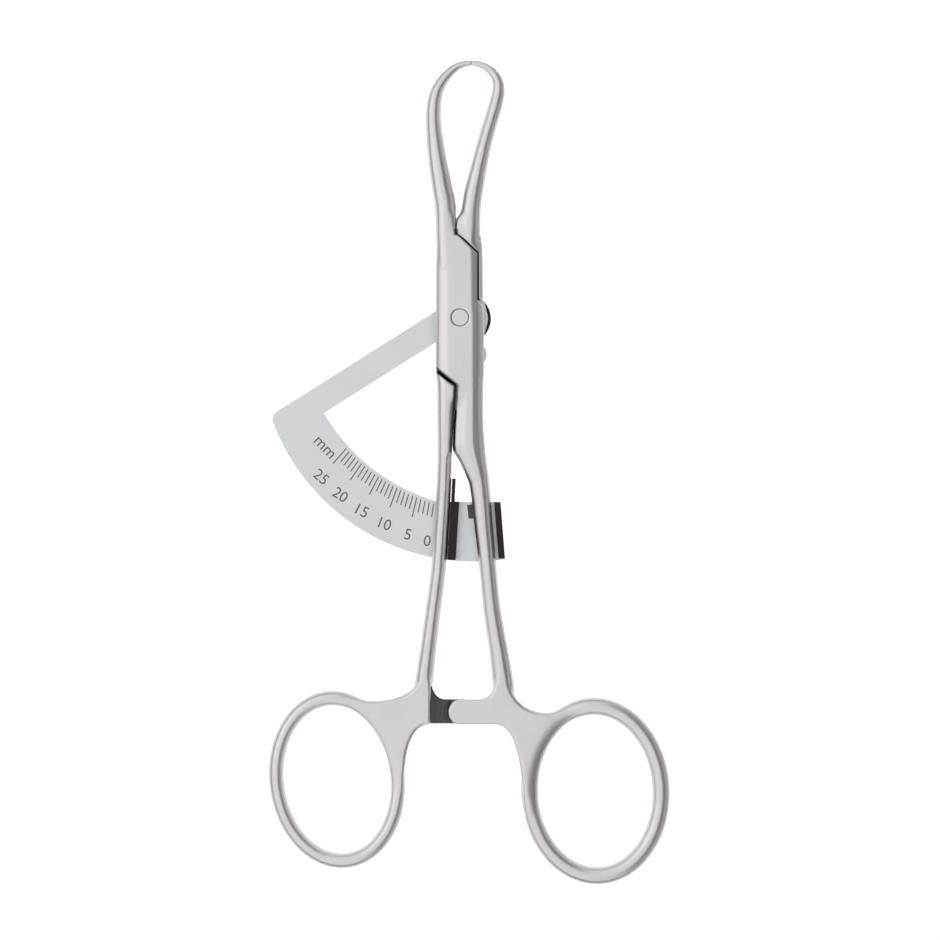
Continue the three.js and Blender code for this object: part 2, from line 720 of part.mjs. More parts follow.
// The female arm leaves this room free round the keeper when the handles are shut
function keeperRoom() {
  const outside = runningGap + keeperBlockWidth + slideGap;
  const top = keeperTop - slideGap;
  const foot = keeperFoot + slideGap;
  return prism(polygon([
    keeperLine(top, 0), keeperLine(foot, 0), keeperLine(foot, outside), keeperLine(top, outside),
  ]), keeperBack - slideGap, keeperBack + keeperDepth + slideGap);
}

function keeperSolid() {
  const inside = runningGap;
  const body = [
    [keeperTop, keeperStep, keeperBarWidth], [keeperStep, keeperFoot, keeperBlockWidth],
  ].map(([top, foot, width]) => prism(polygon([
    keeperLine(top, inside), keeperLine(foot, inside), keeperLine(foot, inside + width),
    keeperLine(top, inside + width),
  ]), keeperBack, keeperBack + keeperDepth));
  const slot = prism(polygon([[-far, -throat], [-far, -far], [far, -far], [far, -throat]]),
    plateBack - slideGap, plateFront + slideGap);
  const holes = rivetReaches.map((reach) => rivetSolid(reach, pinClearance));
  return joined(body).subtract(slot).subtract(joined(holes));
}

// Rivets run from the keeper's outer face into the shank, square to the keeper
const rivetShares = [0.25, 0.75];
const rivetReaches = rivetShares.map((share) => THREE.MathUtils.lerp(keeperStep, keeperFoot, share));

function rivetSolid(drop, clearance) {
  const outside = keeperBlockWidth + runningGap + rivetReach;
  const end = clearance > 0 ? outside + cutOverrun : outside;
  const shoulder = outside - rivetHeadHeight - clearance;
  const profile = [
    [0, -clearance], [rivetRadius + clearance, -clearance], [rivetRadius + clearance, shoulder],
    [rivetHeadRadius + clearance, shoulder], [rivetHeadRadius + clearance, end], [0, end],
  ];
  const points = profile.map(([side, reach]) => new THREE.Vector2(side, reach));
  const geometry = new THREE.LatheGeometry(points, rivetSides);
  const [footX, footY] = keeperLine(keeperFoot, 0);
  const [topX, topY] = keeperLine(keeperStep, 0);
  geometry.rotateZ(Math.atan2(footX - topX, topY - footY) - Math.PI / 2);
  const facing = new THREE.Vector2(topY - footY, footX - topX).normalize();
  const [x, y] = keeperLine(drop, 0);
  const height = (plateFront + slideGap + keeperBack + keeperDepth) / 2;
  geometry.translate(x - facing.x * rivetReach, y - facing.y * rivetReach, height);
  return solid(geometry);
}

// The finished assembly

const steel = new THREE.MeshStandardMaterial({ color: 0xcdc8c9, roughness: 0.38, metalness: 0.9 });
const plateSteel = new THREE.MeshStandardMaterial({ color: 0xc3c6c8, roughness: 0.45, metalness: 0.9 });
const darkSteel = new THREE.MeshStandardMaterial({ color: 0x3a3535, roughness: 0.55, metalness: 0.7 });
const screwSteel = new THREE.MeshStandardMaterial({ color: 0xb5b5b5, roughness: 0.35, metalness: 0.9 });

function part(name, piece, material) {
  const { vertProperties, triVerts } = piece.getMesh();
  const geometry = new THREE.BufferGeometry();
  geometry.setAttribute('position', new THREE.BufferAttribute(new Float32Array(vertProperties), 3));
  geometry.setIndex(new THREE.BufferAttribute(new Uint32Array(triVerts), 1));
  geometry.computeVertexNormals();
  const mesh = new THREE.Mesh(geometry, material.clone());
  mesh.name = name;
  return mesh;
}

const caliper = new THREE.Group();
caliper.add(part('female_arm', femaleArm(), steel));
caliper.add(part('male_arm', maleArm(), steel));
caliper.add(part('pivot_pin', pinSolid(), screwSteel));
caliper.add(part('scale_plate', plateSolid(), plateSteel));
const lockScrew = screwSolid(lockSide, -lockDrop, boxBack + lockScrewReach);
caliper.add(part('plate_lock_screw', lockScrew, screwSteel));
caliper.add(part('plate_end_spacer', spacerSolid(), screwSteel));
const endScrew = screwSolid(endScrewSide, -endScrewDrop, spacerTop + endScrewReach);
caliper.add(part('plate_end_screw', endScrew, screwSteel));
caliper.add(part('scale_keeper', keeperSolid(), darkSteel));
caliper.add(part('keeper_rivet_upper', rivetSolid(rivetReaches[0], 0), screwSteel));
caliper.add(part('keeper_rivet_lower', rivetSolid(rivetReaches[1], 0), screwSteel));

export default caliper;
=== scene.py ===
"""Bone caliper: the finished look of a ring-handled box-lock caliper with a quadrant scale.

Forged satin steel arms with painted shade along their partings and in the tooth space, a sheet
steel scale plate with dark laser marks, a blackened keeper whose near-black tone is partly painted
shade, and turned steel fasteners, lying on a white table under a soft studio light.
Everything is in metres; sizes are written in millimetres times MM.
"""
import math

import bmesh
import bpy
import numpy as np
from mathutils import Matrix, Vector


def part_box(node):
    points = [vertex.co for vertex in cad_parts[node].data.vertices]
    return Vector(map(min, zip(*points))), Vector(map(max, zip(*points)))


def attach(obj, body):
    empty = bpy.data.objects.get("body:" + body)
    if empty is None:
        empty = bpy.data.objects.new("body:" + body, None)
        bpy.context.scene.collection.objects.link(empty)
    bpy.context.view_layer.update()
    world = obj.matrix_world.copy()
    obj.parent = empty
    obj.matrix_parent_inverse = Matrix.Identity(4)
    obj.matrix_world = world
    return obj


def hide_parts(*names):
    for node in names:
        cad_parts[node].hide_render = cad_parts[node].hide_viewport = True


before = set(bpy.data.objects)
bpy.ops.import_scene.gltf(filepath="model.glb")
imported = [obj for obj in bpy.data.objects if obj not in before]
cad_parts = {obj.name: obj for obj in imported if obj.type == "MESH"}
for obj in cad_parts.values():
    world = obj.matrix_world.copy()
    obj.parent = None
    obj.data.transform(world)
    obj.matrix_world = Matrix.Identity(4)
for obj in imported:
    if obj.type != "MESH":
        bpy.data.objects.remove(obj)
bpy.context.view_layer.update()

MM = 0.001
MERGE = 0.001 * MM

# Heights of the layers
BOX_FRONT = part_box("female_arm")[1].z
MIDDLE = (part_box("female_arm")[0].z + BOX_FRONT) / 2
PLATE_FRONT = 2.0 * MM

# Forged arms: mesh step, rounds and pull of the smoothing, how much of it each stretch gets,
# and how sharp a bend counts as a polished edge
VOXEL = 0.185 * MM
SMOOTH_ROUNDS = 33
SMOOTH_IN = 0.6
SMOOTH_OUT = -0.62
BAR_SMOOTHING = 0.35
LOCK_TOP = 13.9 * MM
LOCK_FOOT = -11.5 * MM
LOCK_SMOOTHING = 0.12
HANDLE_TOP = -57.0 * MM
TIP_ZONE = 40.0 * MM
TIP_SMOOTHING = 0.15
ZONE_EASE = 2.0 * MM
# How far round the tooth space the painted shade reaches
PAINTED_SHADE_REACH = 0.12 * MM
EDGE_FROM = 0.25
EDGE_SPAN = 0.6
EDGE_SPREAD = 3

# Where the webs run out into the rings, and the jaws and shanks into the box
LEFT_BLENDS = ((-16.5 * MM, -62.9 * MM), (-9.9 * MM, -77.3 * MM), (-3.7 * MM, -11.8 * MM),
               (0.6 * MM, 16.8 * MM))
RIGHT_BLENDS = ((17.1 * MM, -64.8 * MM), (11.8 * MM, -81.1 * MM), (-3.9 * MM, 12.4 * MM),
                (-2.0 * MM, 16.8 * MM))
BLEND_REACH = 3.5 * MM
BLEND_ROUNDS = 30
BLEND_PULL = 0.6

# The parting between the arms as the front shows it, from the jaws to the shanks
PARTING_SIDE = -0.65 * MM
UPPER_SEAM = ((PARTING_SIDE, 16.3 * MM), (PARTING_SIDE, 13.9 * MM), (2.95 * MM, 10.6 * MM),
              (2.95 * MM, 2.9 * MM))
LOWER_SEAM = ((-3.9 * MM, -8.5 * MM), (PARTING_SIDE, -11.1 * MM), (-1.3 * MM, -21.7 * MM))
TIP_SEAM = ((1.96 * MM, 43.5 * MM), (1.96 * MM, 40.5 * MM))
# Widths of the painted shade along the stretches of the parting, and how softly it fades out
UPPER_SHADE = 0.06 * MM
LOWER_SHADE = 0.34 * MM
CORNER_SHADE = 0.28 * MM
CORNER_SEAM = ((PARTING_SIDE, 14.2 * MM), (PARTING_SIDE, 13.7 * MM))
SHADE_EASE = 0.16 * MM
SHUT_REACH = 1.2 * MM
SHUT_POWER = 2.2

# Handle ratchet: its bars, its teeth and the height left between the two bars' crests
BAR_DROP = 64.4 * MM
BAR_HEIGHT = 4.0 * MM
TOOTH_PITCH = 0.85 * MM
TOOTH_HEIGHT = 0.35 * MM
TOOTH_ROOM = 0.3 * MM
TOOTH_SUNK = 0.2
TOOTH_WIDTH_SHARE = 0.9
BAR_GAP = 0.15 * MM
BAR_NOSE = 0.6 * MM
LEFT_BAR_END = 2.7 * MM
LEFT_BAR_ROOT = -5.6 * MM
RIGHT_BAR_END = -1.9 * MM
RIGHT_BAR_ROOT = 6.2 * MM

# Broken edges of the small pieces; the hub of the plate is rounded over beside the box
SHARP_ANGLE = math.radians(38)
FLAT_ANGLE = math.radians(0.6)
SOFT_BEVEL = 0.7 * MM
SOFT_STEPS = 5
HUB_RIM = (3.4 * MM, 2.3 * MM)
# How far a face of the hub's rim must turn to the right to take the painted shade
RIM_TILT = 0.25
ROUNDING = 0.05 * MM

# Finger holes: centre, half sizes and lean, and how far their webs are rounded over
LEFT_HOLE = ((-20.1 * MM, -75.5 * MM), (8.7 * MM, 12.15 * MM), math.radians(7.2))
RIGHT_HOLE = ((22.15 * MM, -77.4 * MM), (9.35 * MM, 12.45 * MM), math.radians(2.65))
HALF_RING = 1.5 * MM
WEB_ROUND_WIDE = 2.6 * MM
WEB_ROUND_DEEP = 1.15 * MM
WEB_LOW_TURN, WEB_HIGH_TURN, WEB_TURN_EASE = -40, 100, 30

# The peened pin fills most of its running clearance
PIN_SPREAD = 1.03

# The plate's bent end, whose faces take painted shade
TAB_SIDE = 5.2 * MM
BEND_CLEAR = 0.2 * MM
BEND_INNER_TILT = -0.5

# Scale: the reading edge swings round the pivot, and each mark is a tip opening. The photo's
# numbers can't be read, so the values and the zero's place are assumed
TIP_REACH = 42.25 * MM
ZERO_TURN = math.radians(-96.8)
MARK_STEP = 1.0 * MM
MARK_COUNT = 26
INNER_RADIUS = 32.0 * MM
INNER_CENTRE = (5.24 * MM, 0.65 * MM)
MARK_START = 0.5 * MM
MARK_SHORT = 2.2 * MM
MARK_LONG = 3.3 * MM
MARK_WIDTH = 0.18 * MM
MARK_DEPTH = 0.03 * MM
ZERO_MARK = (1.75 * MM, -31.7 * MM)
ZERO_MARK_SIZE = (0.95 * MM, 2.3 * MM)
ZERO_MARK_TURN = math.radians(6)
NUMBER_HEIGHT = 1.8 * MM
NUMBER_OUT = 6.8 * MM
NUMBER_EVERY = 5
LETTER_STEPS = 4
ZERO_NUMBER_SHIFT = math.radians(1.6)
UNIT_OPENING = 28.6 * MM
UNIT_OUT = 3.0 * MM
UNIT_SHARE = 0.7

# The photograph's frame: 940 pixels across, 825 of them the caliper's assumed 135 mm
PIXEL = 135 / 825 * MM
PIVOT_PIXEL = (460, 318)
FRAME_PIXELS = 940
CAMERA_HEIGHT = 700 * MM
SENSOR = 36

# Stage and light; the cards stand round the point that the light is aimed at
AIM = (2 * MM, -25 * MM, MIDDLE)
FLOOR_SIZE = 6.0
FLOOR_DROP = 60 * MM
FLOOR_LIFT = 0.56
CARD_SIZE = (0.9, 0.3)
CARD_PLACE = (0.25, AIM[1], 0.245)
FLAG_LENGTH = 0.5
FLAG_HEIGHT = 0.08
FLAG_AWAY = 0.25
FLAG_RISE = -0.01
TENT_LIGHT = 0.8
TENT_SEEN = 1.0
SOFT_BOX_PLACE = (-0.55, 0.2, 0.5)
SOFT_BOX_SIZE = (0.5, 0.7)
SOFT_BOX_WATTS = 0.35


# Colours and nodes


def linear(hex_code):
    """An sRGB hex colour as linear red, green, blue and alpha."""
    parts = [int(hex_code[i:i + 2], 16) / 255 for i in (0, 2, 4)]
    return tuple(c / 12.92 if c <= 0.04045 else ((c + 0.055) / 1.055) ** 2.4 for c in parts) + (1.0,)


def add(tree, kind, inputs=None, **settings):
    """Adds a node with its settings; an input takes a value or another node's output."""
    node = tree.nodes.new(kind)
    for name, value in settings.items():
        setattr(node, name, value)
    for socket, value in (inputs or {}).items():
        if isinstance(value, bpy.types.NodeSocket):
            tree.links.new(value, node.inputs[socket])
        else:
            node.inputs[socket].default_value = value
    return node


def blend(tree, amount, one, two):
    """A colour between one and two by an amount from 0 to 1."""
    mix = tree.nodes.new("ShaderNodeMix")
    mix.data_type = "RGBA"
    for socket, value in ((mix.inputs[0], amount), (mix.inputs[6], one), (mix.inputs[7], two)):
        if isinstance(value, bpy.types.NodeSocket):
            tree.links.new(value, socket)
        else:
            socket.default_value = value
    return mix.outputs[2]


def maths(tree, operation, *values):
    return add(tree, "ShaderNodeMath", dict(enumerate(values)), operation=operation).outputs[0]


def bare_material(name):
    """A new material and its empty node tree."""
    material = bpy.data.materials.new(name)
    material.use_nodes = True
    tree = material.node_tree
    tree.nodes.clear()
    return material, tree


# Where handling polishes an edge, the dark tone of the painted shade in partings and tooth spaces, and
# the size of broad mottling
WORN_EDGE = linear("f2efee")
PAINTED_SHADE_TONE = linear("343132")
MOTTLE = 4.5 * MM


def steel(name, tone, shade, roughness, grain, stretch, relief, wear=0.0, painted_shade_share=0.0):
    """A metal surface: tone and shade are its two colours, grain is the size of its finest
    pattern, stretch draws that pattern out into lines, and relief is how deep it is. Wear is
    how far polished edges turn bright, and the painted shade share is how far the painted shade
    in partings and tooth spaces turns the colour dark."""
    material, tree = bare_material(name)
    place = add(tree, "ShaderNodeTexCoord")
    drawn = add(tree, "ShaderNodeMapping", {"Vector": place.outputs["Object"], "Scale": stretch})
    fine = add(tree, "ShaderNodeTexNoise", {
        "Vector": drawn.outputs[0], "Scale": 1 / grain, "Detail": 4.0, "Roughness": 0.6})
    broad = add(tree, "ShaderNodeTexNoise", {
        "Vector": place.outputs["Object"], "Scale": 1 / MOTTLE, "Detail": 3.0})
    colour = blend(tree, broad.outputs["Fac"], linear(tone), linear(shade))
    rough = add(tree, "ShaderNodeMapRange", {
        "Value": fine.outputs["Fac"], "From Min": 0.25, "From Max": 0.75,
        "To Min": roughness[0], "To Max": roughness[1]})
    bump = add(tree, "ShaderNodeBump", {
        "Height": fine.outputs["Fac"], "Distance": relief, "Strength": 1.0})
    shader = add(tree, "ShaderNodeBsdfPrincipled", {
        "Roughness": rough.outputs[0], "Normal": bump.outputs[0], "Metallic": 1.0})
    if wear:
        edge = add(tree, "ShaderNodeAttribute", attribute_name="edge").outputs["Fac"]
        colour = blend(tree, maths(tree, "MULTIPLY", edge, wear), colour, WORN_EDGE)
    # Painted shade: the colour turns dark where the painted shade mask is set, in the parting and the
    # tooth space
    if painted_shade_share:
        painted_shade = add(tree, "ShaderNodeAttribute", attribute_name="painted_shade").outputs["Fac"]
        colour = blend(tree, maths(tree, "MULTIPLY", painted_shade, painted_shade_share), colour, PAINTED_SHADE_TONE)
    tree.links.new(colour, shader.inputs["Base Color"])
    add(tree, "ShaderNodeOutputMaterial", {"Surface": shader.outputs[0]})
    return material


# Forged martensitic stainless, glass-bead blasted: an even satin sheen with no mirror lines,
# a faint warm mottling, edges that handling has polished a little brighter, and painted shade
# along the partings and in the tooth spaces.
blasted_stainless = steel(
    "glass_bead_blasted_stainless", "dad7d8", "d0cdce", (0.31, 0.39), 0.22 * MM,
    (1.0, 0.55, 1.0), 0.006 * MM, wear=0.3, painted_shade_share=0.92)
# The ratchet's teeth as the cutter left them: dull with fine cross lines, and dark partly from the
# milled finish and partly as painted shade for the other bar's shadow.
milled_and_shaded_steel = steel(
    "milled_stainless_teeth_painted_shade", "8f8a8a", "6f6a6b", (0.42, 0.55), 0.18 * MM, (3.0, 0.4, 1.0), 0.008 * MM)
# Cold-rolled stainless sheet, belt-brushed along its strip: cooler and a little flatter.
brushed_sheet = steel(
    "belt_brushed_stainless_sheet", "d9dadb", "d0d1d2", (0.30, 0.42), 0.30 * MM,
    (0.35, 1.0, 1.0), 0.005 * MM)
# Chemically blackened steel: near black with a warm cast and a dull oily sheen. Its near-black tone is
# partly painted shade on the keeper, the plate's bent end and the hub's rounded rim.
blackened_shaded_steel = steel(
    "blackened_shaded_steel", "383233", "2c2829", (0.34, 0.46), 0.25 * MM, (1.0, 1.0, 1.0), 0.006 * MM)
# Turned stainless rod: fine rings, a touch darker than the arms.
turned_stainless = steel(
    "turned_stainless", "cecccc", "c6c3c4", (0.27, 0.36), 0.18 * MM, (1.0, 1.0, 0.4), 0.004 * MM)


def laser_oxide():
    """Oxide drawn by a laser: a dark warm grey skin in the steel, dull, with soft edges."""
    material, tree = bare_material("laser_oxide_mark")
    place = add(tree, "ShaderNodeTexCoord")
    speckle = add(tree, "ShaderNodeTexNoise", {
        "Vector": place.outputs["Object"], "Scale": 1 / (0.2 * MM), "Detail": 3.0})
    ramp = add(tree, "ShaderNodeMapRange", {
        "Value": speckle.outputs["Fac"], "From Min": 0.3, "From Max": 0.7,
        "To Min": 0.0, "To Max": 1.0})
    shader = add(tree, "ShaderNodeBsdfPrincipled", {
        "Base Color": blend(tree, ramp.outputs[0], linear("5c5758"), linear("7c7677")),
        "Roughness": 0.55, "Metallic": 0.0})
    add(tree, "ShaderNodeOutputMaterial", {"Surface": shader.outputs[0]})
    return material


laser_mark = laser_oxide()


# Mesh helpers


def new_object(name, mesh):
    piece = bpy.data.objects.new(name, mesh)
    bpy.context.scene.collection.objects.link(piece)
    return piece


def settled(piece):
    """The piece's modifiers turned into plain mesh."""
    bpy.context.view_layer.update()
    graph = bpy.context.evaluated_depsgraph_get()
    mesh = bpy.data.meshes.new_from_object(piece.evaluated_get(graph))
    piece.modifiers.clear()
    piece.data = mesh
    return piece


def merge_points(work):
    """Joins loose triangles and turns their faces outward."""
    bmesh.ops.remove_doubles(work, verts=work.verts, dist=MERGE)
    bmesh.ops.recalc_face_normals(work, faces=work.faces)


def written(work, mesh):
    """Puts what a bmesh holds into a mesh, and lets the bmesh go."""
    work.to_mesh(mesh)
    work.free()
    return mesh


def merged_copy(node, name):
    """A copy of a CAD node with its loose triangles joined."""
    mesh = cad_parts[node].data.copy()
    mesh.materials.clear()
    work = bmesh.new()
    work.from_mesh(mesh)
    merge_points(work)
    written(work, mesh)
    for attribute in list(mesh.color_attributes):
        mesh.color_attributes.remove(attribute)
    return new_object(name, mesh)


def box_piece(name, low, high):
    """A box between two corners."""
    mesh = bpy.data.meshes.new(name)
    work = bmesh.new()
    bmesh.ops.create_cube(work, size=1)
    low, high = Vector(low), Vector(high)
    for vertex in work.verts:
        vertex.co = Vector((low[i] + (high[i] - low[i]) * (vertex.co[i] + 0.5) for i in range(3)))
    return new_object(name, written(work, mesh))


def cut(piece, tool):
    """Takes the tool's volume out of the piece."""
    modifier = piece.modifiers.new("cut", "BOOLEAN")
    modifier.operation = "DIFFERENCE"
    modifier.solver = "EXACT"
    modifier.object = tool
    settled(piece)
    bpy.data.objects.remove(tool)
    return piece


def points_of(mesh):
    spots = np.empty(len(mesh.vertices) * 3, np.float64)
    mesh.vertices.foreach_get("co", spots)
    return spots.reshape(-1, 3)


def moved(mesh, spots):
    """Puts a mesh's points in new places."""
    mesh.vertices.foreach_set("co", spots.astype(np.float32).ravel())
    mesh.update()


def edge_ends(mesh):
    """The numbers of each edge's two points, a row to an edge."""
    ends = np.empty(len(mesh.edges) * 2, np.int64)
    mesh.edges.foreach_get("vertices", ends)
    return ends.reshape(-1, 2)


def neighbours(one, two, size):
    """How many points each point is joined to, never less than one."""
    return np.maximum(np.bincount(one, minlength=size) + np.bincount(two, minlength=size), 1)


def sum_around(spots, one, two):
    """The sum of the points that each point is joined to."""
    size = len(spots)
    return np.stack([
        np.bincount(one, spots[two, i], size) + np.bincount(two, spots[one, i], size)
        for i in range(3)], axis=1)


def smoothed(mesh, rounds, share):
    """Evens out a fine mesh without shrinking it; share is how far each point may move."""
    spots = points_of(mesh)
    one, two = edge_ends(mesh).T
    count = neighbours(one, two, len(spots))[:, None]
    for turn in range(rounds * 2):
        pull = SMOOTH_IN if turn % 2 == 0 else SMOOTH_OUT
        spots = spots + (sum_around(spots, one, two) / count - spots) * pull * share[:, None]
    moved(mesh, spots)


def blended(mesh, places):
    """Rounds off what stands proud near some places, seen from the front."""
    spots = points_of(mesh)
    ends = edge_ends(mesh)
    for place in places:
        away = np.linalg.norm(spots[:, :2] - np.array(place), axis=1)
        chosen = np.flatnonzero(away < BLEND_REACH)
        number = np.full(len(spots), -1)
        number[chosen] = np.arange(len(chosen))
        pairs = number[ends]
        one, two = pairs[(pairs >= 0).all(1)].T
        local = spots[chosen]
        count = neighbours(one, two, len(local))[:, None]
        pull = np.clip(2 - 2 * away[chosen] / BLEND_REACH, 0, 1)[:, None] * BLEND_PULL
        for _ in range(BLEND_ROUNDS):
            local = local + (sum_around(local, one, two) / count - local) * pull
        spots[chosen] = local
    moved(mesh, spots)


def stored(mesh, name, value):
    """Keeps one number a point with the mesh, for its material."""
    layer = mesh.attributes.new(name, "FLOAT", "POINT")
    layer.data.foreach_set("value", value.astype(np.float32))


def mark_edges(mesh):
    """Stores how sharply the surface bends outward at each point, from 0 to 1."""
    spots = points_of(mesh)
    one, two = edge_ends(mesh).T
    count = neighbours(one, two, len(spots))
    normals = np.empty(len(spots) * 3)
    mesh.vertices.foreach_get("normal", normals)
    around = sum_around(spots, one, two) / count[:, None]
    bend = ((spots - around) * normals.reshape(-1, 3)).sum(1) / VOXEL ** 2 * MM
    for _ in range(EDGE_SPREAD):
        total = np.bincount(one, bend[two], len(spots)) + np.bincount(two, bend[one], len(spots))
        bend = total / count
    stored(mesh, "edge", np.clip((bend - EDGE_FROM) / EDGE_SPAN, 0, 1))


def distance_to(spots, line):
    """How far each point is from a line of corners, seen from the front."""
    flat = spots[:, :2]
    nearest = np.full(len(flat), np.inf)
    for start, end in zip(line, line[1:]):
        start, step = np.array(start), np.array(end) - np.array(start)
        share = np.clip((flat - start) @ step / (step @ step), 0, 1)
        nearest = np.minimum(nearest, np.linalg.norm(flat - start - share[:, None] * step, axis=1))
    return nearest


def mark_hollow(mesh, low, high):
    """Stores the painted shade: full in the tooth space and in bands along the parting, where shade
    falls between the arms.
    """
    spots = points_of(mesh)
    inside = ((spots > np.array(low) - PAINTED_SHADE_REACH) & (spots < np.array(high) + PAINTED_SHADE_REACH)).all(1)
    value = inside.astype(np.float64)
    shades = ((UPPER_SEAM, UPPER_SHADE), (LOWER_SEAM, LOWER_SHADE), (CORNER_SEAM, CORNER_SHADE))
    for line, width in shades:
        value = np.maximum(value, np.clip(1 - (distance_to(spots, line) - width) / SHADE_EASE, 0, 1))
    stored(mesh, "painted_shade", value)


def shut_parting(mesh, line, hand):
    """Draws an arm up to the parting line, on whose left (-1) or right (+1) it lies."""
    spots = points_of(mesh)
    (top_side, top), (foot_side, foot) = line
    share = (top - spots[:, 1]) / (top - foot)
    away = hand * (spots[:, 0] - top_side - (foot_side - top_side) * np.clip(share, 0, 1))
    ease = SHUT_REACH / (top - foot)
    held = np.clip((share + ease) / ease, 0, 1) * np.clip((1 + ease - share) / ease, 0, 1)
    near = (away > 0) & (away < SHUT_REACH)
    depth = np.clip(away / SHUT_REACH, 1e-6, 1)
    drawn = SHUT_REACH * depth ** (1 + (SHUT_POWER - 1) * held)
    spots[:, 0] -= hand * np.where(near, away - drawn, 0)
    moved(mesh, spots)


def dressed(piece, body, material, slot, *nodes):
    """Gives a piece its material and its body, and hides the nodes that it stands for. The slot is not
    used.
    """
    piece.data.materials.clear()
    piece.data.materials.append(material)
    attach(piece, body)
    if nodes:
        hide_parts(*nodes)
    return piece


# Forged arms


def round_web(mesh, centre, half_sizes, lean, hand):
    """Rounds over the web's two faces along the finger hole, where the fingers bear."""
    spots = points_of(mesh)
    side, rise = (spots[:, :2] - np.array(centre)).T
    across = side * math.cos(lean) + rise * math.sin(lean)
    along = rise * math.cos(lean) - side * math.sin(lean)
    size = np.hypot(across / half_sizes[0], along / half_sizes[1])
    away = (size - 1) * np.hypot(across, along) / np.maximum(size, 0.1)
    turn = np.degrees(np.arctan2(along / half_sizes[1], -hand * across / half_sizes[0]))
    ease = np.clip((turn - WEB_LOW_TURN) / WEB_TURN_EASE, 0, 1)
    ease *= np.clip((WEB_HIGH_TURN - turn) / WEB_TURN_EASE, 0, 1)
    near = 1 - np.clip(away / WEB_ROUND_WIDE, 0, 1)
    drop = WEB_ROUND_DEEP * (1 - np.sqrt(1 - near ** 2)) * ease * (away > -MM)
    deep = spots[:, 2] - MIDDLE
    rounded = MIDDLE + np.clip(deep, drop - HALF_RING, HALF_RING - drop)
    spots[:, 2] = np.where(drop > 0, rounded, spots[:, 2])
    moved(mesh, spots)


def forged_arm(node, name, body, hand, blends, hole, tooth_low, tooth_high):
    """One forging: the CAD arm without its ratchet teeth, its faceted bars drawn smooth."""
    piece = merged_copy(node, name)
    cut(piece, box_piece("tooth_space", tooth_low, tooth_high))
    remesh = piece.modifiers.new("fine", "REMESH")
    remesh.mode = "VOXEL"
    remesh.voxel_size = VOXEL
    settled(piece)
    mesh = piece.data
    height = points_of(mesh)[:, 1]
    lock = np.clip((LOCK_TOP - height) / ZONE_EASE, 0, 1)
    lock *= np.clip((height - LOCK_FOOT) / ZONE_EASE, 0, 1)
    handle = np.clip((HANDLE_TOP - height) / ZONE_EASE, 0, 1)
    tip = np.clip((height - TIP_ZONE) / ZONE_EASE, 0, 1)
    share = BAR_SMOOTHING + (LOCK_SMOOTHING - BAR_SMOOTHING) * lock
    share += (1 - BAR_SMOOTHING) * handle + (TIP_SMOOTHING - BAR_SMOOTHING) * tip
    round_web(mesh, *hole, -hand)
    smoothed(mesh, SMOOTH_ROUNDS, share)
    blended(mesh, blends)
    shut_parting(mesh, UPPER_SEAM[:2], hand)
    shut_parting(mesh, TIP_SEAM, hand)
    shut_parting(mesh, LOWER_SEAM[1:], -hand)
    mark_edges(mesh)
    # Painted shade in the tooth space and along the parting
    mark_hollow(mesh, tooth_low, tooth_high)
    mesh.shade_smooth()
    return dressed(piece, body, blasted_stainless, "forged_steel", node)


bar_low, bar_high = -BAR_DROP - BAR_HEIGHT, -BAR_DROP + BAR_HEIGHT
valley = BAR_GAP / 2 + TOOTH_HEIGHT
forged_arm("male_arm", "left_forged_arm", "male", 1, LEFT_BLENDS, LEFT_HOLE,
           (LEFT_BAR_ROOT, bar_low, MIDDLE - valley),
           (LEFT_BAR_END + MM, bar_high, MIDDLE + TOOTH_ROOM))
forged_arm("female_arm", "right_forged_arm", "female", -1, RIGHT_BLENDS, RIGHT_HOLE,
           (RIGHT_BAR_END - MM, bar_low, MIDDLE - TOOTH_ROOM),
           (RIGHT_BAR_ROOT, bar_high, MIDDLE + valley))


# Repeated pieces


def tree_with(name, sizes):
    """An empty node tree with named inputs and one geometry output."""
    tree = bpy.data.node_groups.new(name, "GeometryNodeTree")
    tree.interface.new_socket("Geometry", in_out="OUTPUT", socket_type="NodeSocketGeometry")
    for label, value in sizes.items():
        kind = {int: "NodeSocketInt", float: "NodeSocketFloat",
                bpy.types.Material: "NodeSocketMaterial"}[type(value)]
        socket = tree.interface.new_socket(label, in_out="INPUT", socket_type=kind)
        if kind != "NodeSocketMaterial":
            socket.default_value = value
    return tree


def grown_piece(name, tree, sizes):
    """The mesh that a tree makes with these sizes."""
    piece = new_object(name, bpy.data.meshes.new(name))
    modifier = piece.modifiers.new(name, "NODES")
    modifier.node_group = tree
    for item in tree.interface.items_tree:
        if item.in_out == "INPUT":
            modifier[item.identifier] = sizes[item.name]
    return settled(piece)


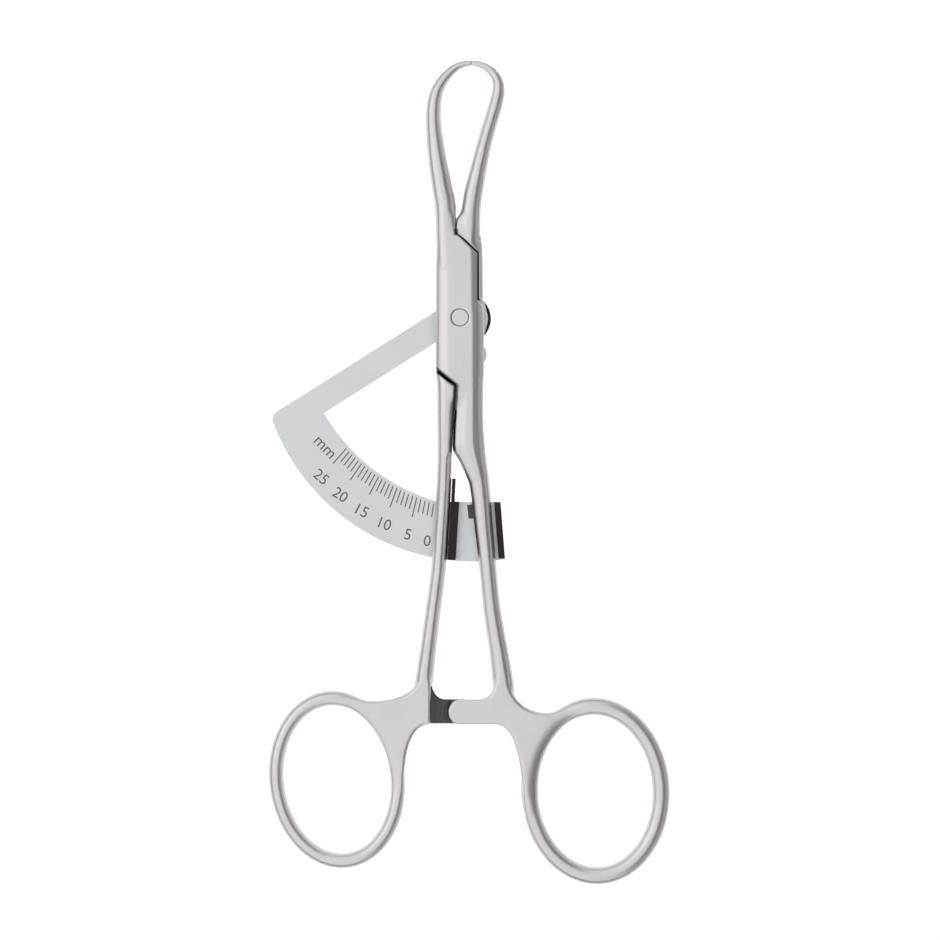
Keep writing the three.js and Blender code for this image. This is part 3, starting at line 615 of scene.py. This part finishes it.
def tick_tree():
    """Marks at even steps of tip opening, each standing off the plate's inner edge."""
    sizes = {"Count": MARK_COUNT, "Step": MARK_STEP, "Tip Reach": TIP_REACH, "Zero Turn": ZERO_TURN,
             "Inner Radius": INNER_RADIUS, "Centre Side": INNER_CENTRE[0],
             "Centre Rise": INNER_CENTRE[1], "Start": MARK_START, "Short": MARK_SHORT,
             "Long": MARK_LONG, "Width": MARK_WIDTH, "Depth": MARK_DEPTH, "Height": PLATE_FRONT}
    tree = tree_with("scale_ticks", {**sizes, "Material": laser_mark})
    given = add(tree, "NodeGroupInput").outputs
    line = add(tree, "GeometryNodeMeshLine", {"Count": given["Count"]})
    index = add(tree, "GeometryNodeInputIndex").outputs[0]
    opening = maths(tree, "MULTIPLY", index, given["Step"])
    half = maths(tree, "DIVIDE", opening, maths(tree, "MULTIPLY", given["Tip Reach"], 2.0))
    swing = maths(tree, "MULTIPLY", maths(tree, "ARCSINE", half), 2.0)
    turn = maths(tree, "SUBTRACT", given["Zero Turn"], swing)
    across, up = maths(tree, "COSINE", turn), maths(tree, "SINE", turn)
    along = maths(tree, "ADD", maths(tree, "MULTIPLY", across, given["Centre Side"]),
                  maths(tree, "MULTIPLY", up, given["Centre Rise"]))
    centre = maths(tree, "ADD", maths(tree, "MULTIPLY", given["Centre Side"], given["Centre Side"]),
                   maths(tree, "MULTIPLY", given["Centre Rise"], given["Centre Rise"]))
    radius = maths(tree, "MULTIPLY", given["Inner Radius"], given["Inner Radius"])
    square = maths(tree, "SUBTRACT", radius, centre)
    root = maths(tree, "SQRT", maths(tree, "ADD", maths(tree, "MULTIPLY", along, along), square))
    edge = maths(tree, "ADD", along, root)
    fifth = maths(tree, "COMPARE", maths(tree, "MODULO", index, float(NUMBER_EVERY)), 0.0, 0.1)
    extra = maths(tree, "MULTIPLY", fifth, maths(tree, "SUBTRACT", given["Long"], given["Short"]))
    length = maths(tree, "ADD", given["Short"], extra)
    foot = maths(tree, "ADD", edge, given["Start"])
    reach = maths(tree, "ADD", foot, maths(tree, "DIVIDE", length, 2.0))
    spot = add(tree, "ShaderNodeCombineXYZ", {
        "X": maths(tree, "MULTIPLY", across, reach), "Y": maths(tree, "MULTIPLY", up, reach),
        "Z": given["Height"]})
    placed = add(tree, "GeometryNodeSetPosition", {
        "Geometry": line.outputs[0], "Position": spot.outputs[0]})
    size = add(tree, "ShaderNodeCombineXYZ", {"X": length, "Y": given["Width"], "Z": given["Depth"]})
    tilt = add(tree, "ShaderNodeCombineXYZ", {"Z": turn})
    bar = add(tree, "GeometryNodeMeshCube", {"Size": (1.0, 1.0, 1.0)})
    copies = add(tree, "GeometryNodeInstanceOnPoints", {
        "Points": placed.outputs[0], "Instance": bar.outputs[0], "Rotation": tilt.outputs[0],
        "Scale": size.outputs[0]})
    real = add(tree, "GeometryNodeRealizeInstances", {"Geometry": copies.outputs[0]})
    painted = add(tree, "GeometryNodeSetMaterial", {
        "Geometry": real.outputs[0], "Material": given["Material"]})
    add(tree, "NodeGroupOutput", {"Geometry": painted.outputs[0]})
    return tree, {**sizes, "Material": laser_mark}


ticks = grown_piece("scale_ticks", *tick_tree())
dressed(ticks, "female", laser_mark, "mark_fill")


def tooth_tree(name, sizes):
    """A row of ratchet teeth: wedges with a steep side and a long slope."""
    tree = tree_with(name, {**sizes, "Material": milled_and_shaded_steel})
    given = add(tree, "NodeGroupInput").outputs
    step = add(tree, "ShaderNodeCombineXYZ", {"X": given["Step"]})
    start = add(tree, "ShaderNodeCombineXYZ", {
        "X": given["Start"], "Y": given["Drop"], "Z": given["Height"]})
    line = add(tree, "GeometryNodeMeshLine", {
        "Count": given["Count"], "Start Location": start.outputs[0], "Offset": step.outputs[0]})
    wedge = add(tree, "GeometryNodeMeshCube", {"Size": (1.0, 1.0, 1.0)})
    place = add(tree, "GeometryNodeInputPosition")
    axes = add(tree, "ShaderNodeSeparateXYZ", {0: place.outputs[0]}).outputs
    lean = maths(tree, "ADD", axes["X"], 0.5)
    top = maths(tree, "GREATER_THAN", axes["Z"], 0.0)
    slope = maths(tree, "MULTIPLY", top, maths(tree, "SUBTRACT", 1.0, lean))
    level = maths(tree, "SUBTRACT", slope, TOOTH_SUNK)
    side = add(tree, "ShaderNodeCombineXYZ", {"X": lean, "Y": axes["Y"], "Z": level})
    wedged = add(tree, "GeometryNodeSetPosition", {
        "Geometry": wedge.outputs[0], "Position": side.outputs[0]})
    size = add(tree, "ShaderNodeCombineXYZ", {
        "X": given["Step"], "Y": given["Width"], "Z": given["Rise"]})
    copies = add(tree, "GeometryNodeInstanceOnPoints", {
        "Points": line.outputs[0], "Instance": wedged.outputs[0], "Scale": size.outputs[0]})
    real = add(tree, "GeometryNodeRealizeInstances", {"Geometry": copies.outputs[0]})
    painted = add(tree, "GeometryNodeSetMaterial", {
        "Geometry": real.outputs[0], "Material": given["Material"]})
    add(tree, "NodeGroupOutput", {"Geometry": painted.outputs[0]})
    return tree


def ratchet_teeth(name, body, root, end, height, facing):
    """Teeth from the bar's end to its root, standing towards the other bar."""
    count = int(abs(end - root) / TOOTH_PITCH)
    hand = 1 if end > root else -1
    sizes = {"Count": count, "Step": hand * TOOTH_PITCH, "Start": end - hand * count * TOOTH_PITCH,
             "Drop": -BAR_DROP, "Height": height, "Width": BAR_HEIGHT * TOOTH_WIDTH_SHARE,
             "Rise": facing * TOOTH_HEIGHT}
    piece = grown_piece(name, tooth_tree(name, sizes), {**sizes, "Material": milled_and_shaded_steel})
    work = bmesh.new()
    work.from_mesh(piece.data)
    merge_points(work)
    written(work, piece.data)
    return dressed(piece, body, milled_and_shaded_steel, "forged_steel")


ratchet_teeth("left_bar_teeth", "male", LEFT_BAR_ROOT, LEFT_BAR_END - BAR_NOSE,
              MIDDLE - valley, 1)
ratchet_teeth("right_bar_teeth", "female", RIGHT_BAR_ROOT, RIGHT_BAR_END + BAR_NOSE,
              MIDDLE + valley, -1)


# Numbers on the scale


def text_mesh(words, height, middle, turn):
    """Flat-topped lettering on the plate, its foot away from the pivot."""
    curve = bpy.data.curves.new(words, "FONT")
    curve.body = words
    curve.align_x = "CENTER"
    curve.align_y = "CENTER"
    curve.resolution_u = LETTER_STEPS
    piece = new_object("lettering", curve)
    bpy.context.view_layer.update()
    scale = height / piece.dimensions.y
    curve.extrude = MARK_DEPTH / 2 / scale
    bpy.context.view_layer.update()
    graph = bpy.context.evaluated_depsgraph_get()
    mesh = bpy.data.meshes.new_from_object(piece.evaluated_get(graph))
    bpy.data.objects.remove(piece)
    place = (Matrix.Translation((middle[0], middle[1], PLATE_FRONT))
             @ Matrix.Rotation(turn + math.pi / 2, 4, "Z") @ Matrix.Scale(scale, 4))
    mesh.transform(place)
    return mesh


def inner_edge(turn):
    """Distance from the pivot to the plate's inner edge in a direction."""
    centre = Vector(INNER_CENTRE)
    along = centre.dot(Vector((math.cos(turn), math.sin(turn))))
    return along + math.sqrt(along ** 2 + INNER_RADIUS ** 2 - centre.length_squared)


def add_bar(work, middle, size, turn):
    """A solid mark on the plate, leaning by a turn."""
    place = (Matrix.Translation((middle[0], middle[1], PLATE_FRONT)) @ Matrix.Rotation(turn, 4, "Z")
             @ Matrix.Diagonal((size[0], size[1], MARK_DEPTH, 1)))
    bmesh.ops.create_cube(work, size=1, matrix=place)


def scale_lettering():
    """Numbers every five millimetres of opening, the unit beside the last mark and an index
    mark. The photo's numbers can't be read: these are an assumed, generic scale."""
    work = bmesh.new()
    words = [(str(value), value * MM, NUMBER_OUT, NUMBER_HEIGHT)
             for value in range(0, MARK_COUNT, NUMBER_EVERY)]
    words.append(("mm", UNIT_OPENING, UNIT_OUT, NUMBER_HEIGHT * UNIT_SHARE))
    for word, opening, out, height in words:
        turn = ZERO_TURN - 2 * math.asin(opening / (2 * TIP_REACH))
        if opening == 0:
            turn -= ZERO_NUMBER_SHIFT
        reach = inner_edge(turn) + out
        middle = (math.cos(turn) * reach, math.sin(turn) * reach)
        work.from_mesh(text_mesh(word, height, middle, turn))
    add_bar(work, ZERO_MARK, ZERO_MARK_SIZE, ZERO_MARK_TURN)
    mesh = written(work, bpy.data.meshes.new("scale_lettering"))
    return new_object("scale_lettering", mesh)


dressed(scale_lettering(), "female", laser_mark, "mark_fill")


# Plate and small pieces


def finished(node, body, material, slot, bevel, spread=1.0, soft_rim=None):
    """A CAD piece with its sharp edges broken, as a file or a tumbler leaves them. Spread
    swells it round the pivot, as peening does, and the soft rim is where edges are rounder."""
    piece = merged_copy(node, node + "_finished")
    mesh = piece.data
    mesh.transform(Matrix.Diagonal((spread, spread, 1, 1)))
    work = bmesh.new()
    work.from_mesh(mesh)
    bmesh.ops.dissolve_limit(work, angle_limit=FLAT_ANGLE, verts=work.verts, edges=work.edges)
    if soft_rim is not None:
        rim = []
        for edge in work.edges:
            middle = (edge.verts[0].co + edge.verts[1].co) / 2
            beside = middle.x > soft_rim[0] and abs(middle.y) < soft_rim[1]
            if beside and middle.z > PLATE_FRONT - ROUNDING and edge.calc_face_angle() > SHARP_ANGLE:
                rim.append(edge)
        bmesh.ops.bevel(work, geom=rim, offset=SOFT_BEVEL, offset_type="OFFSET", segments=SOFT_STEPS,
                        profile=0.5, affect="EDGES", clamp_overlap=False)
    written(work, mesh)
    broken = piece.modifiers.new("broken_edges", "BEVEL")
    broken.width = bevel
    broken.segments = 2
    broken.limit_method = "ANGLE"
    broken.angle_limit = SHARP_ANGLE
    settled(piece)
    piece.data.shade_smooth()
    even = piece.modifiers.new("even_faces", "WEIGHTED_NORMAL")
    even.weight = 100
    settled(piece)
    return dressed(piece, body, material, slot, node)


def darken(piece, material, low_side):
    """Gives the plate's bent end, which stands above its face, and the right-facing rounded rim of its
    hub the near-black material as painted shade: the shadow beside the right shank and the shading of
    the rim."""
    mesh = piece.data
    mesh.materials.append(material)
    for face in mesh.polygons:
        middle = face.center
        bent = middle.x > low_side and middle.z > PLATE_FRONT + BEND_CLEAR
        bent = bent and face.normal.x > BEND_INNER_TILT
        rim = middle.x > HUB_RIM[0] and abs(middle.y) < HUB_RIM[1] and face.normal.x > RIM_TILT
        if bent or (rim and middle.z > PLATE_FRONT - SOFT_BEVEL):
            face.material_index = 1


plate = finished("scale_plate", "female", brushed_sheet, "plate_steel", 0.12 * MM,
                 soft_rim=HUB_RIM)
# Painted shade: the bent end and the hub's rounded rim take the near-black material
darken(plate, blackened_shaded_steel, TAB_SIDE)
finished("pivot_pin", "female", blasted_stainless, "screw_steel", 0.05 * MM, spread=PIN_SPREAD)
finished("plate_lock_screw", "female", turned_stainless, "screw_steel", 0.06 * MM)
finished("plate_end_screw", "female", turned_stainless, "screw_steel", 0.06 * MM)
finished("plate_end_spacer", "female", turned_stainless, "screw_steel", 0.08 * MM)
# The keeper's near-black colour is partly painted shade, for the shadow that the left shank casts on
# the plate
finished("scale_keeper", "male", blackened_shaded_steel, "dark_steel", 0.08 * MM)
finished("keeper_rivet_upper", "male", turned_stainless, "screw_steel", 0.05 * MM)
finished("keeper_rivet_lower", "male", turned_stainless, "screw_steel", 0.05 * MM)


# Stage, light, camera


def seen_directly(tree):
    """One for rays from the camera and mirror or clear surfaces, zero for all others."""
    path = add(tree, "ShaderNodeLightPath").outputs
    seen = maths(tree, "ADD", path["Is Camera Ray"], path["Is Glossy Ray"])
    return maths(tree, "MINIMUM", maths(tree, "ADD", seen, path["Is Transmission Ray"]), 1.0)


def paper_floor():
    """White paper table: dull and even, and lifted to pure white where it is seen."""
    material, tree = bare_material("white_paper")
    paper = add(tree, "ShaderNodeBsdfDiffuse", {"Color": linear("f4f4f4")})
    glow = maths(tree, "MULTIPLY", seen_directly(tree), FLOOR_LIFT)
    lift = add(tree, "ShaderNodeEmission", {"Strength": glow})
    both = add(tree, "ShaderNodeAddShader", {0: paper.outputs[0], 1: lift.outputs[0]})
    add(tree, "ShaderNodeOutputMaterial", {"Surface": both.outputs[0]})
    return material


def flat_sheet(name, size, place, aim=None):
    """A flat sheet, facing up or towards the point that it is aimed at."""
    mesh = bpy.data.meshes.new(name)
    work = bmesh.new()
    bmesh.ops.create_grid(work, x_segments=1, y_segments=1, size=0.5)
    written(work, mesh)
    turn = Matrix()
    if aim:
        turn = (Vector(aim) - Vector(place)).to_track_quat("Z", "Y").to_matrix().to_4x4()
    mesh.transform(Matrix.Translation(place) @ turn @ Matrix.Diagonal((size[0], size[1], 1, 1)))
    return new_object(name, mesh)


floor = flat_sheet("paper_floor", (FLOOR_SIZE, FLOOR_SIZE), (0, 0, -FLOOR_DROP))
floor.data.materials.append(paper_floor())


def card_paint(name, tone):
    """Matt painted card."""
    material = bpy.data.materials.new(name)
    material.use_nodes = True
    shader = material.node_tree.nodes["Principled BSDF"]
    shader.inputs["Base Color"].default_value = linear(tone)
    shader.inputs["Roughness"].default_value = 0.9
    shader.inputs["Specular IOR Level"].default_value = 0.1
    return material


card = flat_sheet("grey_card", CARD_SIZE, CARD_PLACE, AIM)
card.data.materials.append(card_paint("grey_card", "a0a0a0"))
card.visible_camera = False


def low_flag(name, tone, side, rise, turn):
    """A card standing on edge out of the picture, that the metal's steep sides reflect. Side
    and rise say which way it lies from the point that the light is aimed at."""
    place = (AIM[0] + side * FLAG_AWAY, AIM[1] + rise * FLAG_AWAY, FLAG_RISE)
    piece = flat_sheet(name, (1.0, 1.0), (0, 0, 0))
    stand = (Matrix.Translation(place) @ Matrix.Rotation(turn, 4, "Z")
             @ Matrix.Rotation(math.pi / 2, 4, "X") @ Matrix.Diagonal((FLAG_LENGTH, FLAG_HEIGHT, 1, 1)))
    piece.data.transform(stand)
    piece.data.materials.append(card_paint(name, tone))
    piece.visible_camera = False


low_flag("right_flag", "4a4a4a", 1, 0, math.pi / 2)
low_flag("left_flag", "888888", -1, 0, math.pi / 2)
low_flag("far_flag", "4a4a4a", 0, 1, 0.0)
low_flag("near_flag", "4a4a4a", 0, -1, 0.0)

world = bpy.data.worlds.new("white_tent")
bpy.context.scene.world = world
world.use_nodes = True
tree = world.node_tree
tree.nodes.clear()
power = add(tree, "ShaderNodeMapRange", {
    "Value": seen_directly(tree), "To Min": TENT_LIGHT, "To Max": TENT_SEEN})
sky = add(tree, "ShaderNodeBackground", {"Color": (1, 1, 1, 1), "Strength": power.outputs[0]})
add(tree, "ShaderNodeOutputWorld", {"Surface": sky.outputs[0]})


def soft_box(name, place, size, watts):
    """A rectangular studio lamp aimed at the caliper."""
    lamp = bpy.data.lights.new(name, "AREA")
    lamp.shape = "RECTANGLE"
    lamp.size, lamp.size_y = size
    lamp.energy = watts
    piece = new_object(name, lamp)
    piece.location = place
    piece.rotation_mode = "QUATERNION"
    piece.rotation_quaternion = (Vector(place) - Vector(AIM)).to_track_quat("Z", "Y")


soft_box("left_soft_box", SOFT_BOX_PLACE, SOFT_BOX_SIZE, SOFT_BOX_WATTS)

camera = bpy.data.cameras.new("photo_camera")
camera_piece = new_object("photo_camera", camera)
camera.sensor_width = SENSOR
camera.lens = SENSOR * (CAMERA_HEIGHT - MIDDLE) / (FRAME_PIXELS * PIXEL)
middle_pixel = FRAME_PIXELS / 2
camera_piece.location = ((middle_pixel - PIVOT_PIXEL[0]) * PIXEL,
                         (PIVOT_PIXEL[1] - middle_pixel) * PIXEL, CAMERA_HEIGHT)
camera.clip_start, camera.clip_end = 0.01, 20
bpy.context.scene.camera = camera_piece
bpy.context.scene.view_settings.view_transform = "Standard"
